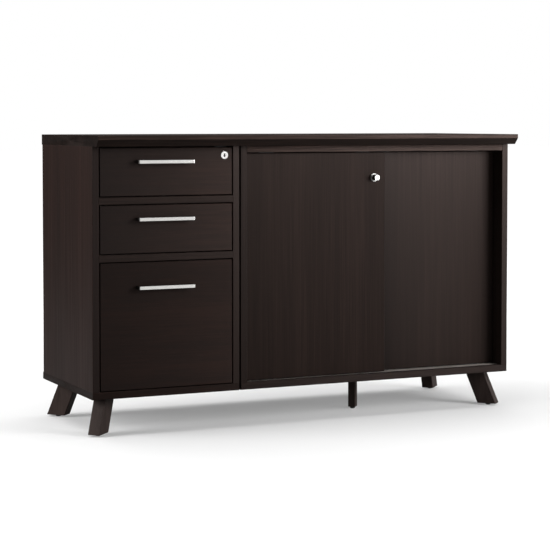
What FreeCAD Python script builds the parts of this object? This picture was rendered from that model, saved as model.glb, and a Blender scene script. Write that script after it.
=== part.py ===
import FreeCAD, Part
import os
import re
import Sketcher

# Office credenza: a three-drawer pedestal and a sliding-door cabinet under one worktop.
# X runs along the worktop, -Y is the front, Z is up.
# The floor is Z = 0, and the middle of the footprint is X = Y = 0.

NEAR = 1e-4
UP = FreeCAD.Vector(0, 0, 1)

doc = FreeCAD.newDocument("credenza")
sheet = doc.addObject("Spreadsheet::Sheet", "sizes")

SIZES = [
    ("overall_width", 1200, "worktop and both modules, side to side"),
    ("overall_depth", 457, "worktop, nose to rear edge"),
    ("overall_height", 750, "floor to worktop"),
    ("board", 18, "laminated board of sides, bottoms, rails and shelf"),
    ("edge_round", 1, "rounded arris of an edge band"),
    ("top_thickness", 27, "worktop"),
    ("nose_height", 10.5, "vertical part of the worktop's front edge"),
    ("bevel_run", 15, "how far the bevel under the nose runs back"),
    ("front_overhang", 50, "worktop in front of the modules"),
    ("rear_lap", 5, "worktop and bottoms behind the sides, round the back panels"),
    ("back_thickness", 4, "back panels"),
    ("back_inset", 3, "back panel's edge inside the module's outer face"),
    ("pedestal_width", 395, "drawer module"),
    ("module_gap", 4, "between the two modules"),
    ("stretcher_depth", 60, "stretchers under the worktop"),
    ("stretcher_gap", 1.2, "front stretcher behind the lock's strike"),
    ("rail_depth", 60, "rails between the drawers"),
    ("front_gap", 2.5, "round the drawer fronts"),
    ("top_gap", 4, "top front under the worktop"),
    ("front_thickness", 18, "drawer fronts"),
    ("box_front_height", 119.5, "fronts of the two low drawers"),
    ("box_thickness", 12, "drawer box sides and backs"),
    ("box_rear_room", 34, "behind a drawer box"),
    ("box_head_room", 37.5, "low drawer's box below its front's upper edge"),
    ("file_head_room", 74.5, "file drawer's box below its front's upper edge"),
    ("box_lift", 12, "box above its front's lower edge"),
    ("tray_thickness", 3, "drawer bottom panel"),
    ("groove_depth", 5, "groove for the bottom panel"),
    ("groove_rise", 9, "groove above the box side's lower edge"),
    ("groove_play", 0.2, "bottom panel in its groove"),
    ("file_rail_height", 22, "hanging file rail"),
    ("file_rail_thickness", 2.5, "hanging file rail"),
    ("file_rail_rise", 10, "hanging file rail above the box side"),
    ("runner_width", 12.7, "telescopic runner between module side and box"),
    ("runner_height", 45, "outer member of a runner"),
    ("runner_setback", 2, "runner behind the drawer front"),
    ("runner_steel", 1.2, "sheet of the runner members"),
    ("runner_play", 0.8, "between nested members"),
    ("handle_length", 150, "bar pull"),
    ("handle_bar", 8, "square section of the pull"),
    ("handle_reach", 25, "pull in front of the drawer front"),
    ("handle_round", 3, "outer corners of the pull"),
    ("handle_offset", 8.5, "pull's middle left of the front's middle"),
    ("box_handle_drop", 34.5, "pull below a low front's upper edge"),
    ("file_handle_drop", 62, "pull below the file front's upper edge"),
    ("lock_side_inset", 21, "drawer lock from the front's right edge"),
    ("lock_drop", 20, "drawer lock below the front's upper edge"),
    ("lock_ring_radius", 9.5, "face ring of the drawer lock"),
    ("lock_ring_thickness", 1.6, "face ring of the drawer lock"),
    ("lock_barrel_radius", 8, "barrel of the drawer lock"),
    ("lock_barrel_tail", 3, "barrel behind the drawer front"),
    ("lock_plug_radius", 5.4, "key plug of the drawer lock"),
    ("lock_play", 0.2, "turning and sliding fits of the locks"),
    ("key_slot_width", 1.6, "key slot"),
    ("key_slot_length", 7, "key slot"),
    ("key_slot_depth", 4, "key slot"),
    ("cam_thickness", 2.5, "lock cam"),
    ("cam_width", 10, "lock cam"),
    ("cam_reach", 20, "cam's tip from the key plug's axis"),
    ("cam_nut_thickness", 2.2, "nut behind the cam"),
    ("strike_steel", 1.5, "strike angle under the worktop"),
    ("strike_drop", 12.5, "strike below the worktop"),
    ("strike_width", 34, "strike along the drawer front"),
    ("strike_clearance", 1.3, "strike behind the drawer front"),
    ("door_thickness", 16, "sliding doors"),
    ("door_recess", 20, "front door behind the module's front"),
    ("door_clearance", 8, "between the two doors"),
    ("door_overlap", 57, "closed doors behind each other"),
    ("door_end_gap", 1, "door beside the module's side"),
    ("door_edge_gap", 2, "door above the bottom and below the top panel"),
    ("track_width", 44, "double channel of both tracks"),
    ("track_wall", 2.5, "floor under a track's channels"),
    ("lower_track_depth", 9, "lower track let into the bottom board"),
    ("upper_track_depth", 13, "upper track let into the top panel"),
    ("channel_width", 5, "channel for the door guides"),
    ("guide_length", 40, "door guide along the door"),
    ("guide_body_width", 9, "part of a guide inside the door"),
    ("guide_body_height", 11, "part of a guide inside the door"),
    ("guide_blade", 4, "part of a guide in the channel"),
    ("guide_clearance", 0.3, "lower blade above the channel's floor"),
    ("guide_inset", 45, "guide from the door's end"),
    ("upper_engagement", 7, "upper blade in its channel"),
    ("door_lock_inset", 33, "door lock from the left door's free edge"),
    ("door_lock_drop", 67, "door lock below the door's upper edge"),
    ("door_ring_radius", 11.5, "face ring of the door lock"),
    ("door_ring_thickness", 2, "face ring of the door lock"),
    ("door_barrel_radius", 9.8, "door lock's barrel"),
    ("plunger_radius", 8.2, "push-in plunger"),
    ("plunger_reach", 18, "plunger in front of the door"),
    ("plunger_tail", 4, "plunger behind the door's face"),
    ("plunger_bore", 13, "bore for the plunger from the door's face"),
    ("door_plug_radius", 5.6, "key plug in the plunger"),
    ("door_plug_length", 17, "key plug in the plunger"),
    ("bolt_radius", 3.9, "bolt behind the plunger"),
    ("keeper_steel", 1.5, "keeper plate on the right door"),
    ("keeper_play", 0.6, "bolt beside the keeper's stop"),
    ("keeper_gap", 2, "keeper's stop behind the left door"),
    ("keeper_stop", 6, "keeper's stop along the door"),
    ("keeper_height", 36, "keeper plate"),
    ("keeper_width", 22, "keeper plate"),
    ("shelf_gap", 1, "shelf beside the module's sides"),
    ("shelf_front_gap", 8, "shelf behind the rear door"),
    ("pin_radius", 2.5, "shelf pin"),
    ("pin_play", 0.1, "shelf pin in its hole"),
    ("pin_hole_depth", 10, "shelf pin hole"),
    ("pin_length", 18, "shelf pin"),
    ("pin_inset", 37, "pin row from the shelf's front and rear edge"),
    ("pin_spacing", 32, "between pin holes"),
    ("pin_row_bottom", 232, "lowest pin hole above the bottom board"),
    ("pin_holes", 5, "holes in a pin row"),
    ("connector_radius", 3.9, "connector bolt between the modules"),
    ("connector_play", 0.2, "connector bolt in its holes"),
    ("connector_head_radius", 7, "connector bolt's heads"),
    ("connector_head", 1.5, "connector bolt's heads"),
    ("connector_setback", 90, "connector from the sides' front and rear edges"),
    ("leg_height", 92, "legs without their glides"),
    ("leg_width", 52.5, "leg along its diagonal"),
    ("leg_thickness", 32.5, "leg across its diagonal"),
    ("leg_splay", 37.5, "foot beyond the leg's top, along the diagonal"),
    ("leg_arris", 1.5, "bevelled edges of a leg"),
    ("foot_inset_front", 48, "foot's middle behind the modules' front"),
    ("foot_inset_rear", 38, "foot's middle before the rear edge"),
    ("leg_bolt_spacing", 22, "two hanger bolts in each leg"),
    ("leg_bolt_radius", 3, "hanger bolt"),
    ("leg_bolt_bite", 22, "hanger bolt in the leg"),
    ("board_bite", 8, "hanger bolt in the bottom board"),
    ("bolt_play", 0.2, "hanger bolts in their holes"),
    ("post_width", 20, "square support post"),
    ("post_inset", 150, "support post behind the modules' front"),
    ("post_plate", 56, "plate of the support post"),
    ("post_plate_thickness", 2, "plate of the support post"),
    ("glide_height", 5, "glide under a leg"),
    ("glide_radius", 7, "glide under a leg"),
    ("glide_round", 1.5, "glide's lower edge"),
    ("glide_stem_radius", 3, "glide's stem in the leg"),
    ("glide_stem", 14, "glide's stem in the leg"),
    ("stem_play", 0.2, "stem in its hole"),
]

for number, (alias, size, meaning) in enumerate(SIZES, start=1):
    sheet.set(f"A{number}", alias)
    sheet.set(f"B{number}", str(size))
    sheet.set(f"C{number}", meaning)
    sheet.setAlias(f"B{number}", alias)
doc.recompute()

# Places and sizes that follow from the driving ones.
PLACES = {
    "carcass_front": "front_overhang - overall_depth / 2",
    "carcass_bottom": "leg_height + glide_height",
    "carcass_top": "overall_height - top_thickness",
    "floor_top": "carcass_bottom + board",
    "side_height": "carcass_top - floor_top",
    "board_depth": "overall_depth - front_overhang",
    "side_depth": "board_depth - rear_lap",
    "side_rear": "carcass_front + side_depth",
    "pedestal_left": "-overall_width / 2",
    "pedestal_inside": "pedestal_width - 2 * board",
    "pedestal_middle": "pedestal_left + pedestal_width / 2",
    "cabinet_left": "pedestal_left + pedestal_width + module_gap",
    "cabinet_width": "overall_width - pedestal_width - module_gap",
    "cabinet_inside": "cabinet_width - 2 * board",
    "cabinet_opening": "cabinet_left + board",
    "cabinet_middle": "cabinet_left + cabinet_width / 2",
    "front_width": "pedestal_inside - 2 * front_gap",
    "front_left": "pedestal_left + board + front_gap",
    "front_back": "carcass_front + front_thickness",
    "top_front_z": "carcass_top - top_gap - box_front_height",
    "upper_rail_z": "top_front_z - front_gap - board",
    "middle_front_z": "upper_rail_z - front_gap - box_front_height",
    "lower_rail_z": "middle_front_z - front_gap - board",
    "file_front_z": "floor_top + front_gap",
    "file_front_height": "lower_rail_z - front_gap - file_front_z",
    "box_length": "side_depth - front_thickness - box_rear_room",
    "box_side_height": "box_front_height - box_lift - box_head_room",
    "file_side_height": "file_front_height - box_lift - file_head_room",
    "file_runner_z": "file_front_z + box_lift + file_side_height / 2",
    "low_connector_z": "(floor_top + file_runner_z - runner_height / 2) / 2",
    "high_connector_z": "upper_rail_z + board / 2",
    "box_width": "pedestal_inside - 2 * runner_width",
    "box_inside": "box_width - 2 * box_thickness",
    "runner_front": "front_back + runner_setback",
    "strike_y": "front_thickness + strike_clearance",
    "stretcher_y": "strike_y + strike_drop + stretcher_gap",
    "lock_x": "front_left + front_width - lock_side_inset",
    "lock_z": "carcass_top - top_gap - lock_drop",
    "door_width": "(cabinet_inside - 2 * door_end_gap + door_overlap) / 2",
    "door_height": "side_height - board - 2 * door_edge_gap",
    "door_z": "floor_top + door_edge_gap",
    "left_door_y": "carcass_front + door_recess",
    "right_door_y": "left_door_y + door_thickness + door_clearance",
    "left_door_x": "cabinet_opening + door_end_gap",
    "right_door_x": "cabinet_opening + cabinet_inside - door_end_gap - door_width",
    "track_y": "(left_door_y + right_door_y + door_thickness - track_width) / 2",
    "left_channel": "left_door_y + door_thickness / 2 - track_y",
    "right_channel": "right_door_y + door_thickness / 2 - track_y",
    "door_lock_x": "left_door_x + door_width - door_lock_inset",
    "door_lock_z": "door_z + door_height - door_lock_drop",
    "shelf_front": "right_door_y + door_thickness + shelf_front_gap",
    "shelf_depth": "side_rear - shelf_front",
    "shelf_pin_z": "floor_top + pin_row_bottom + pin_spacing * floor((pin_holes - 1) / 2)",
    "foot_inset_side": "(leg_width + leg_thickness) / (2 * sqrt(2))",
    "foot_x": "overall_width / 2 - foot_inset_side",
    "front_foot_y": "carcass_front + foot_inset_front",
    "rear_foot_y": "overall_depth / 2 - foot_inset_rear",
    "splay_step": "leg_splay / sqrt(2)",
    "bolt_step": "leg_bolt_spacing / (2 * sqrt(2))",
    "post_x": "cabinet_middle",
    "post_y": "carcass_front + post_inset",
}
ALIASES = {alias for alias, size, meaning in SIZES}


def formula(text):
    """The text with each place spelled out and each size read from the sheet."""

    def swap(match):
        word = match.group(0)
        if word in PLACES:
            return "(" + formula(PLACES[word]) + ")"
        return "sizes." + word if word in ALIASES else word

    return re.sub(r"[a-z][a-z_]*", swap, text)


def value(text):
    return float(sheet.evalExpression(formula(text)))


def place(piece, x="0", y="0", z="0", turn=0):
    piece.Placement = FreeCAD.Placement(FreeCAD.Vector(), FreeCAD.Rotation(UP, turn))
    for axis, text in zip("xyz", (x, y, z)):
        piece.setExpression(f"Placement.Base.{axis}", formula(text))


def new_body(label, x="0", y="0", z="0", turn=0):
    body = doc.addObject("PartDesign::Body", label)
    body.Label = label
    place(body, x, y, z, turn)
    return body


def origin_feature(body, role):
    return next(feature for feature in body.Origin.OriginFeatures if feature.Role == role)


def new_sketch(body, plane, offset=None):
    """A sketch on XY, XZ or YZ of its own body, moved along that plane's normal by offset."""
    sketch = body.newObject("Sketcher::SketchObject", body.Name + "_sketch")
    sketch.AttachmentSupport = [(origin_feature(body, plane + "_Plane"), "")]
    sketch.MapMode = "FlatFace"
    if offset:
        sketch.setExpression("AttachmentOffset.Base.z", formula(offset))
    return sketch


def pin_point(sketch, geometry, point, axis, text):
    """Holds one coordinate of a sketch point at a formula."""
    number = sketch.addConstraint(Sketcher.Constraint("Distance" + axis, -1, 1, geometry, point, value(text)))
    sketch.setExpression(f"Constraints[{number}]", formula(text))


def outline(sketch, corners):
    """A closed outline of straight lines through corners given as pairs of formulas."""
    first = sketch.GeometryCount
    points = [FreeCAD.Vector(value(x), value(y), 0) for x, y in corners]
    for start, end in zip(points, points[1:] + points[:1]):
        sketch.addGeometry(Part.LineSegment(start, end), False)
    for index, (x, y) in enumerate(corners):
        following = (index + 1) % len(corners)
        sketch.addConstraint(Sketcher.Constraint("Coincident", first + index, 2, first + following, 1))
        pin_point(sketch, first + index, 1, "X", x)
        pin_point(sketch, first + index, 1, "Y", y)


def rectangle(sketch, x, y, width, height):
    right, top = f"({x}) + ({width})", f"({y}) + ({height})"
    outline(sketch, [(x, y), (right, y), (right, top), (x, top)])


def circle(sketch, x, y, radius):
    centre = FreeCAD.Vector(value(x), value(y), 0)
    number = sketch.addGeometry(Part.Circle(centre, UP, value(radius)), False)
    pin_point(sketch, number, 3, "X", x)
    pin_point(sketch, number, 3, "Y", y)
    constraint = sketch.addConstraint(Sketcher.Constraint("Radius", number, value(radius)))
    sketch.setExpression(f"Constraints[{constraint}]", formula(radius))


def pad(body, sketch, length, reverse=False, symmetric=False):
    feature = body.newObject("PartDesign::Pad", body.Name + "_pad")
    feature.Profile = sketch
    feature.setExpression("Length", formula(length))
    feature.Reversed = reverse
    feature.SideType = "Symmetric" if symmetric else "One side"
    doc.recompute()
    return feature


def must_shrink(body, before):
    doc.recompute()
    if not body.Shape.Volume < before:
        raise RuntimeError(body.Label + ": a cut removed nothing")


def pocket(body, sketch, depth=None, reverse=False):
    """A cut of the given depth, or right through."""
    before = body.Shape.Volume
    feature = body.newObject("PartDesign::Pocket", body.Name + "_pocket")
    feature.Profile = sketch
    feature.Reversed = reverse
    if depth is None:
        feature.Type = "ThroughAll"
    else:
        feature.setExpression("Length", formula(depth))
    must_shrink(body, before)
    return feature


def repeat(body, feature, axis, length, count):
    """A row of copies of a feature along one of the body's own axes."""
    pattern = body.newObject("PartDesign::LinearPattern", body.Name + "_row")
    pattern.Originals = [feature]
    pattern.Direction = (origin_feature(body, axis + "_Axis"), [""])
    pattern.setExpression("Length", formula(length))
    pattern.setExpression("Occurrences", formula(count))
    body.Tip = pattern
    doc.recompute()


def edges_where(feature, test):
    """Names of the edges whose lowest and highest corners pass the test."""
    names = []
    for number, edge in enumerate(feature.Shape.Edges, start=1):
        box = edge.BoundBox
        low = (box.XMin, box.YMin, box.ZMin)
        high = (box.XMax, box.YMax, box.ZMax)
        if test(low, high):
            names.append(f"Edge{number}")
    return names


def runs_along(low, high, axis):
    """True for an edge whose longest side lies along an axis (0 for X, 1 for Y, 2 for Z)."""
    spans = [top - bottom for bottom, top in zip(low, high)]
    return spans[axis] == max(spans)


def at(low, high, axis, level):
    """True for an edge that lies in the plane at a level of an axis."""
    return abs(low[axis] - level) < NEAR and abs(high[axis] - level) < NEAR


def soften(body, test, size, kind="Chamfer"):
    """A Chamfer or Fillet on the edges of the body's last feature that pass the test."""
    base = body.Tip
    feature = body.newObject("PartDesign::" + kind, body.Name + "_" + kind.lower())
    feature.Base = (base, edges_where(base, test))
    feature.setExpression("Radius" if kind == "Fillet" else "Size", formula(size))
    must_shrink(body, base.Shape.Volume)


def soften_front(body):
    """Rounded arrises round the face of a board that shows at the front, at local Y = 0."""
    soften(body, lambda low, high: at(low, high, 1, 0), "edge_round")


def new_board(label, x, y, z, width, depth, height):
    """A plain board that nothing is cut into."""
    box = doc.addObject("Part::Box", label)
    box.Label = label
    place(box, x, y, z)
    for side, text in (("Length", width), ("Width", depth), ("Height", height)):
        box.setExpression(side, formula(text))
    return box


# ---- worktop ----

worktop = new_body("worktop", "pedestal_left", "carcass_front", "carcass_top")
section = new_sketch(worktop, "YZ")
outline(section, [
    ("bevel_run - front_overhang", "0"),
    ("board_depth", "0"),
    ("board_depth", "top_thickness"),
    ("-front_overhang", "top_thickness"),
    ("-front_overhang", "top_thickness - nose_height"),
])
pad(worktop, section, "overall_width")
nose = -value("front_overhang")
crest = value("top_thickness")
soften(
    worktop,
    lambda low, high: at(low, high, 2, crest) or (at(low, high, 1, nose) and runs_along(low, high, 0)),
    "edge_round",
    "Fillet",
)


# ---- sides of both modules ----

def new_side(label, inner_x, outward):
    """A module's side with its inner face at local X = 0; outward is -1 on the left and 1 on the right."""
    side = new_body(label, inner_x, "carcass_front", "floor_top")
    face = new_sketch(side, "YZ")
    rectangle(face, "0", "0", "side_depth", "side_height")
    pad(side, face, "board", reverse=outward < 0)
    soften(side, lambda low, high: at(low, high, 1, 0) and runs_along(low, high, 2), "edge_round")
    return side


def drill_connectors(side, outward):
    """Four holes for the connector bolts that hold the modules together."""
    holes = new_sketch(side, "YZ")
    for y in ("connector_setback", "side_depth - connector_setback"):
        for z in ("low_connector_z - floor_top", "high_connector_z - floor_top"):
            circle(holes, y, z, "connector_radius + connector_play")
    pocket(side, holes, "board", reverse=outward > 0)


def drill_pin_rows(side, outward):
    """Two rows of blind holes for the shelf pins."""
    holes = new_sketch(side, "YZ")
    for y in ("shelf_front - carcass_front + pin_inset", "side_depth - pin_inset"):
        circle(holes, y, "pin_row_bottom", "pin_radius + pin_play")
    lowest = pocket(side, holes, "pin_hole_depth", reverse=outward > 0)
    repeat(side, lowest, "Z", "pin_spacing * (pin_holes - 1)", "pin_holes")


new_side("pedestal_left_side", "pedestal_left + board", -1)
pedestal_right_side = new_side("pedestal_right_side", "pedestal_left + pedestal_width - board", 1)
drill_connectors(pedestal_right_side, 1)
cabinet_left_side = new_side("cabinet_left_side", "cabinet_opening", -1)
drill_connectors(cabinet_left_side, -1)
drill_pin_rows(cabinet_left_side, -1)
cabinet_right_side = new_side("cabinet_right_side", "cabinet_opening + cabinet_inside", 1)
drill_pin_rows(cabinet_right_side, 1)


# ---- bottoms, with blind holes for the legs' hanger bolts ----

def leg_bolt_places(side):
    """The leg bolts of one module, as formulas in X and Y; side is -1 on the left and 1 on the right."""
    places = []
    for foot_y, back in (("front_foot_y", -1), ("rear_foot_y", 1)):
        for step in (-1, 1):
            inward = f"(splay_step + {step} * bolt_step)"
            places.append((f"{side} * (foot_x - {inward})", f"{foot_y} - {back} * {inward}"))
    return places


def new_bottom(label, left, width, side):
    bottom = new_body(label, left, "carcass_front", "carcass_bottom")
    plan = new_sketch(bottom, "XY")
    rectangle(plan, "0", "0", width, "board_depth")
    pad(bottom, plan, "board")
    soften_front(bottom)
    holes = new_sketch(bottom, "XY")
    for x, y in leg_bolt_places(side):
        circle(holes, f"{x} - ({left})", f"{y} - carcass_front", "leg_bolt_radius + bolt_play")
    pocket(bottom, holes, "board_bite", reverse=True)
    return bottom


def cut_track_bed(board_body, bed_z, depth, length, start, reverse):
    """A bed across a board for a door track, from local X = start."""
    bed = new_sketch(board_body, "XY", bed_z)
    rectangle(bed, start, "track_y - carcass_front", length, "track_width")
    pocket(board_body, bed, depth, reverse=reverse)


new_bottom("pedestal_bottom", "pedestal_left", "pedestal_width", -1)
cabinet_bottom = new_bottom("cabinet_bottom", "cabinet_left", "cabinet_width", 1)
cut_track_bed(cabinet_bottom, "board", "lower_track_depth", "cabinet_inside", "board", False)


# ---- rails, stretchers, top panel, backs ----

for label in ("upper_rail", "lower_rail"):
    rail = new_body(label, "pedestal_left + board", "carcass_front", label + "_z")
    plan = new_sketch(rail, "XY")
    rectangle(plan, "0", "0", "pedestal_inside", "rail_depth")
    pad(rail, plan, "board")
    soften(rail, lambda low, high: at(low, high, 1, 0) and runs_along(low, high, 0), "edge_round")

stretchers = new_body("pedestal_stretchers", "pedestal_left + board", "carcass_front", "carcass_top - board")
plan = new_sketch(stretchers, "XY")
for y in ("stretcher_y", "side_depth - stretcher_depth"):
    rectangle(plan, "0", y, "pedestal_inside", "stretcher_depth")
pad(stretchers, plan, "board")

cabinet_top = new_body("cabinet_top", "cabinet_opening", "carcass_front", "carcass_top - board")
plan = new_sketch(cabinet_top, "XY")
rectangle(plan, "0", "0", "cabinet_inside", "side_depth")
pad(cabinet_top, plan, "board")
soften(cabinet_top, lambda low, high: at(low, high, 1, 0) and runs_along(low, high, 0), "edge_round")
cut_track_bed(cabinet_top, "0", "upper_track_depth", "cabinet_inside", "0", True)

for label, left, width in (
    ("pedestal_back", "pedestal_left", "pedestal_width"),
    ("cabinet_back", "cabinet_left", "cabinet_width"),
):
    new_board(label, f"{left} + back_inset", "side_rear", "floor_top",
              f"{width} - 2 * back_inset", "back_thickness", "side_height")


# ---- shelf on its pins ----

new_board("shelf", "cabinet_opening + shelf_gap", "shelf_front", "shelf_pin_z + pin_radius",
          "cabinet_inside - 2 * shelf_gap", "shelf_depth", "board")

pins = []
for x, turn in (
    ("cabinet_opening - pin_hole_depth", 1),
    ("cabinet_opening + cabinet_inside + pin_hole_depth", -1),
):
    for y in ("shelf_front + pin_inset", "side_rear - pin_inset"):
        pin = doc.addObject("Part::Cylinder", "pin")
        pin.setExpression("Radius", formula("pin_radius"))
        pin.setExpression("Height", formula("pin_length"))
        place(pin, x, y, "shelf_pin_z")
        pin.Placement.Rotation = FreeCAD.Rotation(UP, FreeCAD.Vector(turn, 0, 0))
        pins.append(pin)
shelf_pins = doc.addObject("Part::Compound", "shelf_pins")
shelf_pins.Label = "shelf_pins"
shelf_pins.Links = pins


# ---- door tracks ----

def new_track(label, z, depth, up):
    """A bar with two channels, open upwards when up is 1 and downwards when it is -1."""
    mouth = "0" if up < 0 else depth
    floor_z = f"{depth} - track_wall" if up < 0 else "track_wall"
    back_z = depth if up < 0 else "0"
    corners = [("0", back_z), ("0", mouth)]
    for channel in ("left_channel", "right_channel"):
        near, far = f"{channel} - channel_width / 2", f"{channel} + channel_width / 2"
        corners += [(near, mouth), (near, floor_z), (far, floor_z), (far, mouth)]
    corners += [("track_width", mouth), ("track_width", back_z)]
    track = new_body(label, "cabinet_opening", "track_y", z)
    section = new_sketch(track, "YZ")
    outline(section, corners)
    pad(track, section, "cabinet_inside")


new_track("lower_door_track", "floor_top - lower_track_depth", "lower_track_depth", 1)
new_track("upper_door_track", "carcass_top - board", "upper_track_depth", -1)


# ---- connector bolts between the modules ----

connectors = new_body("module_connectors", "pedestal_left + pedestal_width", "carcass_front", "floor_top")
for start, length, radius in (
    ("-board - connector_head", "connector_head", "connector_head_radius"),
    ("-board", "2 * board + module_gap", "connector_radius"),
    ("module_gap + board", "connector_head", "connector_head_radius"),
):
    discs = new_sketch(connectors, "YZ", start)
    for y in ("connector_setback", "side_depth - connector_setback"):
        for z in ("low_connector_z - floor_top", "high_connector_z - floor_top"):
            circle(discs, y, z, radius)
    pad(connectors, discs, length)


# ---- legs with their hanger bolts, support post, glides ----

def bore_for_stem(body):
    """A blind hole up into a foot for the glide's stem."""
    hole = new_sketch(body, "XY")
    circle(hole, "0", "0", "glide_stem_radius + stem_play")
    pocket(body, hole, "glide_stem", reverse=True)


LEGS = [
    ("front_left_leg", "-foot_x", "front_foot_y", -135),
    ("front_right_leg", "foot_x", "front_foot_y", -45),
    ("rear_left_leg", "-foot_x", "rear_foot_y", 135),
    ("rear_right_leg", "foot_x", "rear_foot_y", 45),
]
for label, x, y, turn in LEGS:
    # Local +X points outward along the diagonal, and the foot's middle is the origin.
    leg = new_body(label, x, y, "glide_height", turn)
    side_view = new_sketch(leg, "XZ")
    outline(side_view, [
        ("-leg_width / 2", "0"),
        ("leg_width / 2", "0"),
        ("leg_width / 2 - leg_splay", "leg_height"),
        ("-leg_width / 2 - leg_splay", "leg_height"),
    ])
    pad(leg, side_view, "leg_thickness", symmetric=True)
    soften(leg, lambda low, high: runs_along(low, high, 2), "leg_arris")
    bolt_holes = new_sketch(leg, "XY", "leg_height")
    for step in ("-leg_splay - leg_bolt_spacing / 2", "-leg_splay + leg_bolt_spacing / 2"):
        circle(bolt_holes, step, "0", "leg_bolt_radius + bolt_play")
    pocket(leg, bolt_holes, "leg_bolt_bite")
    bore_for_stem(leg)

post = new_body("support_post", "post_x", "post_y", "glide_height", 45)
plan = new_sketch(post, "XY")
rectangle(plan, "-post_width / 2", "-post_width / 2", "post_width", "post_width")
pad(post, plan, "leg_height - post_plate_thickness")
soften(post, lambda low, high: runs_along(low, high, 2), "edge_round", "Fillet")
plan = new_sketch(post, "XY", "leg_height - post_plate_thickness")
rectangle(plan, "-post_plate / 2", "-post_plate / 2", "post_plate", "post_plate")
pad(post, plan, "post_plate_thickness")
bore_for_stem(post)

glides = new_body("glides")
FEET = [(x, y) for label, x, y, turn in LEGS] + [("post_x", "post_y")]
discs = new_sketch(glides, "XY")
for x, y in FEET:
    circle(discs, x, y, "glide_radius")
pad(glides, discs, "glide_height")
soften(glides, lambda low, high: at(low, high, 2, 0), "glide_round")
stems = new_sketch(glides, "XY", "glide_height")
for x, y in FEET:
    circle(stems, x, y, "glide_stem_radius")
pad(glides, stems, "glide_stem")

leg_bolts = new_body("leg_bolts", z="carcass_bottom - leg_bolt_bite")
rods = new_sketch(leg_bolts, "XY")
for side in (-1, 1):
    for x, y in leg_bolt_places(side):
        circle(rods, x, y, "leg_bolt_radius")
pad(leg_bolts, rods, "leg_bolt_bite + board_bite")


# ---- drawers ----

DRAWERS = [
    {"name": "top_drawer", "z": "top_front_z", "front": "box_front_height",
     "side": "box_side_height", "handle": "box_handle_drop"},
    {"name": "middle_drawer", "z": "middle_front_z", "front": "box_front_height",
     "side": "box_side_height", "handle": "box_handle_drop"},
    {"name": "file_drawer", "z": "file_front_z", "front": "file_front_height",
     "side": "file_side_height", "handle": "file_handle_drop"},
]


def runner_centre(drawer):
    """Height of a drawer's runners: half way up its box side."""
    return f"{drawer['z']} + box_lift + {drawer['side']} / 2"


def new_front(drawer):
    front = new_body(drawer["name"] + "_front", "front_left", "carcass_front", drawer["z"])
    face = new_sketch(front, "XZ")
    rectangle(face, "0", "0", "front_width", drawer["front"])
    pad(front, face, "front_thickness", reverse=True)
    soften_front(front)
    return front


def new_box(drawer):
    """Two grooved sides, a bottom in the grooves and a back that stands on it."""
    base_z = f"{drawer['z']} + box_lift"
    sides = new_body(drawer["name"] + "_sides", "pedestal_middle", "front_back", base_z)
    ends = new_sketch(sides, "XZ")
    grooves = new_sketch(sides, "XZ")
    for hand in (-1, 1):
        rectangle(ends, f"{hand} * (box_width - box_thickness) / 2 - box_thickness / 2", "0",
                  "box_thickness", drawer["side"])
        rectangle(grooves, f"{hand} * (box_inside + groove_depth) / 2 - groove_depth / 2", "groove_rise",
                  "groove_depth", "tray_thickness + groove_play")
    pad(sides, ends, "box_length", reverse=True)
    pocket(sides, grooves, "box_length", reverse=False)
    tray = "(box_inside + 2 * groove_depth - 2 * groove_play)"
    new_board(drawer["name"] + "_bottom", f"pedestal_middle - {tray} / 2", "front_back",
              f"{base_z} + groove_rise", tray, "box_length", "tray_thickness")
    new_board(drawer["name"] + "_back", "pedestal_middle - box_inside / 2",
              "front_back + box_length - box_thickness", f"{base_z} + groove_rise + tray_thickness",
              "box_inside", "box_thickness", f"{drawer['side']} - groove_rise - tray_thickness")


def new_handle(drawer):
    """A square bar whose two ends turn back to the drawer front, with its finger gap between them."""
    handle = new_body(
        drawer["name"] + "_handle",
        "pedestal_middle - handle_offset - handle_length / 2",
        "carcass_front",
        f"{drawer['z']} + {drawer['front']} - {drawer['handle']} - handle_bar / 2",
    )
    plan = new_sketch(handle, "XY")
    outline(plan, [
        ("0", "0"),
        ("0", "-handle_reach"),
        ("handle_length", "-handle_reach"),
        ("handle_length", "0"),
        ("handle_length - handle_bar", "0"),
        ("handle_length - handle_bar", "handle_bar - handle_reach"),
        ("handle_bar", "handle_bar - handle_reach"),
        ("handle_bar", "0"),
    ])
    pad(handle, plan, "handle_bar")
    grip = -value("handle_reach")
    soften(
        handle,
        lambda low, high: at(low, high, 1, grip) and runs_along(low, high, 2),
        "handle_round",
        "Fillet",
    )


def runner_channel(sketch, hand, centre, web, lip, half):
    """A channel's section: web and lip are distances from the module's side; hand is -1 left, 1 right."""
    thick = "runner_steel" if value(f"{lip} - ({web})") > 0 else "-runner_steel"
    wall = "(pedestal_inside / 2)"

    def at_x(depth):
        return f"{hand} * ({wall} - ({depth}))"

    inner = f"{web} + {thick}"
    corners = [
        (at_x(web), f"{centre} - ({half})"),
        (at_x(lip), f"{centre} - ({half})"),
        (at_x(lip), f"{centre} - ({half}) + runner_steel"),
        (at_x(inner), f"{centre} - ({half}) + runner_steel"),
        (at_x(inner), f"{centre} + ({half}) - runner_steel"),
        (at_x(lip), f"{centre} + ({half}) - runner_steel"),
        (at_x(lip), f"{centre} + ({half})"),
        (at_x(web), f"{centre} + ({half})"),
    ]
    outline(sketch, corners)


OUTER_HALF = "runner_height / 2"
MIDDLE_HALF = "runner_height / 2 - runner_steel - runner_play"
INNER_HALF = "runner_height / 2 - 2 * runner_steel - 2 * runner_play"
MIDDLE_WEB = "runner_steel + 2 * runner_play"
NESTED_LIP = "runner_width - runner_steel - 2 * runner_play"
BOX_LIP = "2 * runner_steel + 4 * runner_play"


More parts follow.
